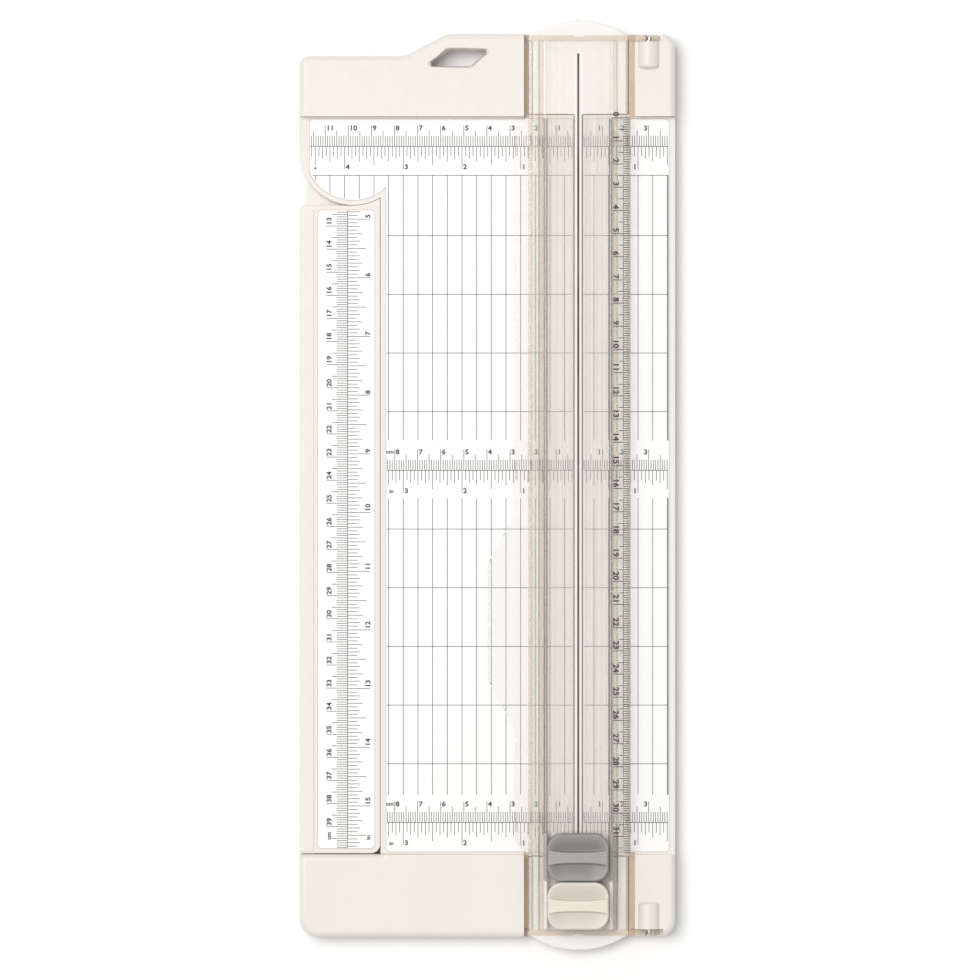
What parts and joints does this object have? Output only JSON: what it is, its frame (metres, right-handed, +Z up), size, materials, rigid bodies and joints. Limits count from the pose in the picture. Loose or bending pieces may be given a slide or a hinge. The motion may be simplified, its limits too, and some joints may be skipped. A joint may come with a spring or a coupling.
{
  "type": "paper trimmer",
  "caption": "Sliding-blade paper trimmer: flat base with printed rulers and grid, hinged clear cutting rail with cutting and scoring carriages, and a fold-out ruler arm.",
  "frame": {"origin": "on the table, under the middle of the trimmer's length and width", "axes": "+X across the base from the ruler arm to the rail, +Y along the rail towards the hang hole, +Z up"},
  "size_m": [0.1624, 0.4022, 0.0262],
  "materials": {
    "cream_plastic": "satin moulded, warm cream",
    "printed_white": "smooth white with fine dark print",
    "white_plastic": "satin white",
    "clear_plastic": "clear, faintly warm, polished",
    "grey_plastic": "satin warm grey",
    "pale_plastic": "satin pale cream",
    "grip_rubber": "soft grey strip",
    "foot_rubber": "soft matt",
    "steel": "bright"
  },
  "bodies": {
    "base": {"base_shell": "cream_plastic", "scale_plate_left": "printed_white", "scale_plate_right": "printed_white", "cutting_strip": "white_plastic", "pivot_screw": "steel", "pivot_washer": "steel", "foot_top_left": "foot_rubber", "foot_top_right": "foot_rubber", "foot_mid_left": "foot_rubber", "foot_mid_right": "foot_rubber", "foot_low_left": "foot_rubber", "foot_low_right": "foot_rubber"},
    "arm": {"ruler_arm": "cream_plastic", "arm_scale_plate": "printed_white", "arm_foot_near": "foot_rubber", "arm_foot_far": "foot_rubber"},
    "rail": {"clear_rail": "clear_plastic", "rail_end_plate_top": "clear_plastic", "rail_end_plate_low": "clear_plastic", "hinge_pin_top": "steel", "hinge_pin_low": "steel", "grip_strip_left": "grip_rubber", "grip_strip_right": "grip_rubber"},
    "cutter_carriage": {"cutter_shoe": "grey_plastic", "cutter_spring_left": "steel", "cutter_spring_right": "steel"},
    "cutter_head": {"cutter_pad": "grey_plastic", "cutter_holder": "grey_plastic", "cutter_blade": "steel"},
    "scorer_carriage": {"scorer_shoe": "pale_plastic", "scorer_spring_left": "steel", "scorer_spring_right": "steel"},
    "scorer_head": {"scorer_pad": "pale_plastic", "scorer_holder": "pale_plastic", "scorer_tip": "pale_plastic"}
  },
  "joints": [
    {"name": "arm_swing", "type": "hinge", "parent": "base", "child": "arm", "pos_m": [-0.0582, 0.1443, 0.0048], "axis": [0, 0, -1], "range_deg": [0, 90]},
    {"name": "rail_lift", "type": "hinge", "parent": "base", "child": "rail", "pos_m": [0.0696, 0, 0.0135], "axis": [0, 1, 0], "range_deg": [0, 95]},
    {"name": "cutter_slide", "type": "slide", "parent": "rail", "child": "cutter_carriage", "axis": [0, 1, 0], "range_m": [0, 0.3415]},
    {"name": "scorer_slide", "type": "slide", "parent": "rail", "child": "scorer_carriage", "axis": [0, 1, 0], "range_m": [0, 0.3415]},
    {"name": "cutter_press", "type": "slide", "parent": "cutter_carriage", "child": "cutter_head", "axis": [0, 0, -1], "range_m": [0, 0.002], "stiffness_N_per_m": 600, "springref_m": -0.002, "deforming": ["cutter_spring_left", "cutter_spring_right"]},
    {"name": "scorer_press", "type": "slide", "parent": "scorer_carriage", "child": "scorer_head", "axis": [0, 0, -1], "range_m": [0, 0.002], "stiffness_N_per_m": 600, "springref_m": -0.002, "deforming": ["scorer_spring_left", "scorer_spring_right"]}
  ],
  "couplings": [
    {"joint": "scorer_slide", "follows": "cutter_slide", "ratio": 1}
  ]
}
